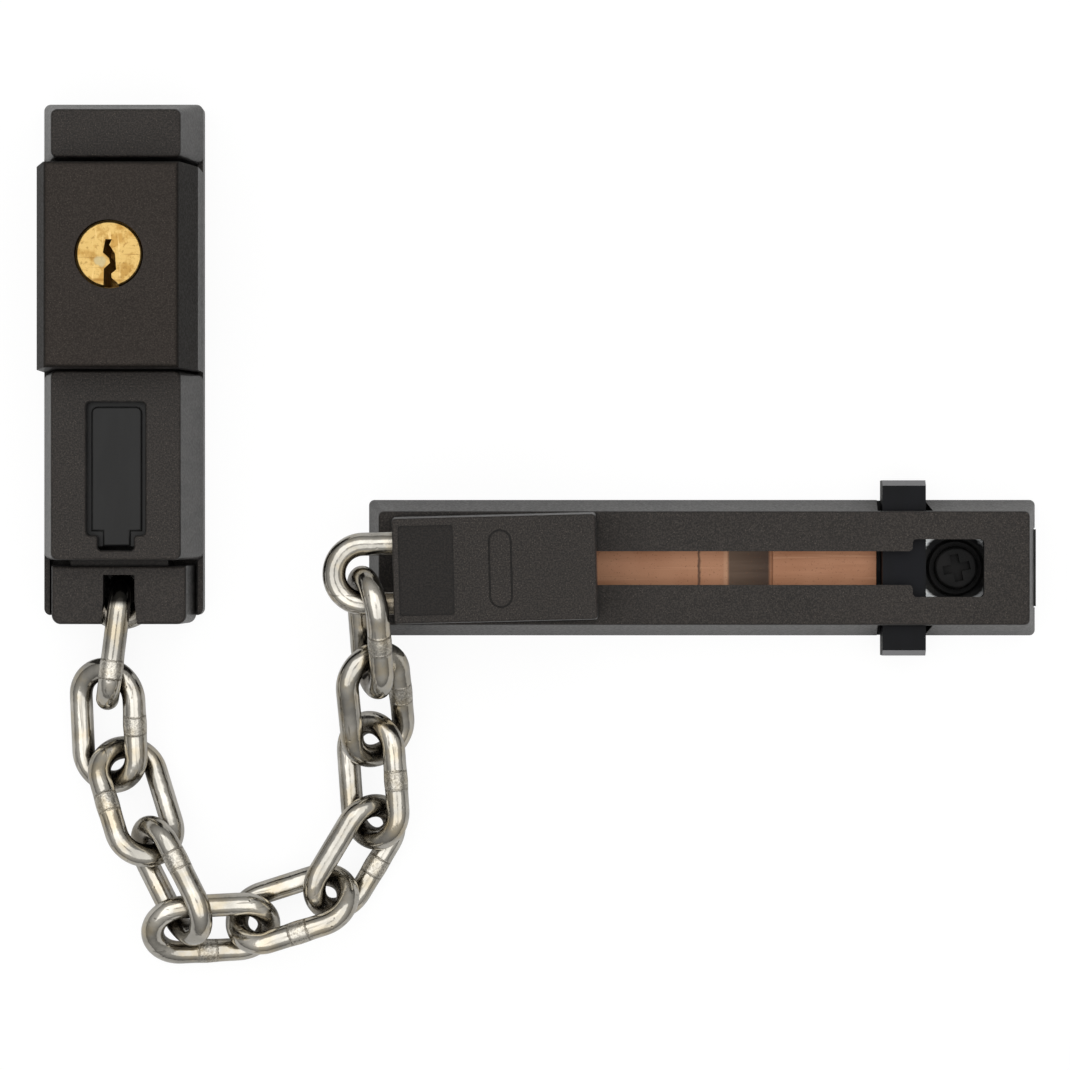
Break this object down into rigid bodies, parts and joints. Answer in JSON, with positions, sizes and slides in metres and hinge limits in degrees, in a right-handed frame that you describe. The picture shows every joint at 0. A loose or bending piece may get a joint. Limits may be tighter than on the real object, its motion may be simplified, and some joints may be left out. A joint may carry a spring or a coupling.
{
  "type": "lockable door chain",
  "caption": "Door chain of welded links between a keyed lock box on the frame and a slotted rail with a sliding carriage on the door, lying flat with the chain slack between them.",
  "frame": {"origin": "Middle of the lock box's back face, where it meets the door frame.", "axes": "+Z out of the back face towards the user's side, +Y up the lock box away from the chain, +X towards the rail."},
  "size_m": [0.1751, 0.1513, 0.0271],
  "materials": {
    "coated_case": "grainy brown-black baked coating",
    "smooth_plastic": "smooth blue-black moulding",
    "brass": "turned, lightly scuffed",
    "chain_steel": "nickel-plated wire, tumbled bright",
    "inner_steel": "plain pressed steel",
    "zinc_plate": "zinc-plated, rolled",
    "copper_strip": "dull copper-coloured spring strip",
    "dark_screw": "dark oxide"
  },
  "bodies": {
    "lock_box": {"lock_base": "coated_case", "frame_plate": "zinc_plate", "plate_screws": "inner_steel", "top_cap": "coated_case", "lock_housing": "coated_case", "park_cover": "coated_case", "cylinder_body": "brass", "driver_pins": "brass", "bolt_guide": "inner_steel"},
    "plug": {"key_plug": "brass", "key_cam": "inner_steel"},
    "bolt": {"lock_bolt": "inner_steel", "bolt_nose": "inner_steel"},
    "shutter": {"park_shutter": "smooth_plastic"},
    "anchor": {"anchor_block": "coated_case", "anchor_staple": "chain_steel", "anchor_tongue": "inner_steel"},
    "link_1": {"chain_link_1": "chain_steel"},
    "link_2": {"chain_link_2": "chain_steel"},
    "link_3": {"chain_link_3": "chain_steel"},
    "link_4": {"chain_link_4": "chain_steel"},
    "link_5": {"chain_link_5": "chain_steel"},
    "link_6": {"chain_link_6": "chain_steel"},
    "link_7": {"chain_link_7": "chain_steel"},
    "link_8": {"chain_link_8": "chain_steel"},
    "link_9": {"chain_link_9": "chain_steel"},
    "link_10": {"chain_link_10": "chain_steel"},
    "carriage": {"carriage": "coated_case", "carriage_staple": "chain_steel", "carriage_head": "inner_steel"},
    "rail": {"rail_cover": "coated_case", "rail_plate": "zinc_plate", "slide_strip": "copper_strip", "screw_cup": "dark_screw", "cover_screw": "dark_screw"},
    "latch": {"cross_latch": "smooth_plastic"}
  },
  "joints": [
    {"name": "key_turn", "type": "hinge", "parent": "lock_box", "child": "plug", "pos_m": [-0.00035, 0.01719, 0.02], "axis": [0, 0, 1], "range_deg": [0, 90]},
    {"name": "bolt_throw", "type": "slide", "parent": "lock_box", "child": "bolt", "axis": [1, 0, 0], "range_m": [0, 0.00567]},
    {"name": "shutter_press", "type": "slide", "parent": "lock_box", "child": "shutter", "axis": [0, 0, -1], "range_m": [0, 0.0037], "stiffness_N_per_m": 120, "springref_m": -0.002},
    {"name": "anchor_pull", "type": "slide", "parent": "lock_box", "child": "anchor", "axis": [0, -1, 0], "range_m": [0, 0.045]},
    {"name": "link_1_swing", "type": "hinge", "parent": "anchor", "child": "link_1", "pos_m": [-0.00051, -0.04437, 0.0083], "axis": [-0.9869, 0.123, 0.1045], "range_deg": [0, 60]},
    {"name": "link_2_swing", "type": "hinge", "parent": "link_1", "child": "link_2", "pos_m": [-0.00254, -0.05949, 0.00688], "axis": [-0.3871, -0.2139, 0.8969], "range_deg": [-45, 30]},
    {"name": "link_3_swing", "type": "hinge", "parent": "link_2", "child": "link_3", "pos_m": [0.00092, -0.0731, 0.00513], "axis": [-0.3551, -0.4108, -0.8397], "range_deg": [-25, 45]},
    {"name": "link_4_swing", "type": "hinge", "parent": "link_3", "child": "link_4", "pos_m": [0.00667, -0.08687, 0.00944], "axis": [-0.7821, -0.295, 0.5489], "range_deg": [-60, 60]},
    {"name": "link_5_swing", "type": "hinge", "parent": "link_4", "child": "link_5", "pos_m": [0.01075, -0.10001, 0.00819], "axis": [-0.1748, 0.582, -0.7942], "range_deg": [-15, 60]},
    {"name": "link_6_swing", "type": "hinge", "parent": "link_5", "child": "link_6", "pos_m": [0.02286, -0.09883, 0.00638], "axis": [0, 0, 1], "range_deg": [-30, 10]},
    {"name": "link_7_swing", "type": "hinge", "parent": "link_6", "child": "link_7", "pos_m": [0.03643, -0.09336, 0.00655], "axis": [0, 0, 1], "range_deg": [-30, 10]},
    {"name": "link_8_swing", "type": "hinge", "parent": "link_7", "child": "link_8", "pos_m": [0.04443, -0.0789, 0.00706], "axis": [-0.6132, -0.0567, 0.7879], "range_deg": [-60, 30]},
    {"name": "link_9_swing", "type": "hinge", "parent": "link_8", "child": "link_9", "pos_m": [0.04496, -0.06478, 0.00849], "axis": [-0.5582, 0.386, -0.7344], "range_deg": [-45, 45]},
    {"name": "link_10_swing", "type": "hinge", "parent": "link_9", "child": "link_10", "pos_m": [0.04422, -0.05221, 0.01566], "axis": [-0.9304, -0.2016, 0.3061], "range_deg": [-60, 45]},
    {"name": "carriage_swing", "type": "hinge", "parent": "link_10", "child": "carriage", "pos_m": [0.04373, -0.04262, 0.0205], "axis": [0.9997, 0.0244, 0], "range_deg": [0, 90]},
    {"name": "carriage_slide", "type": "slide", "parent": "carriage", "child": "rail", "axis": [-1, 0, 0], "range_m": [0, 0.0615]},
    {"name": "latch_press", "type": "slide", "parent": "rail", "child": "latch", "axis": [0, 1, 0], "range_m": [-0.003, 0.003], "stiffness_N_per_m": 300}
  ],
  "couplings": [
    {"joint": "bolt_throw", "follows": "key_turn", "m_per_rad": 0.0036013},
    {"joint": "link_6_swing", "follows": "carriage_slide", "rad_per_m": -5.8178},
    {"joint": "link_7_swing", "follows": "carriage_slide", "rad_per_m": -5.8178}
  ]
}
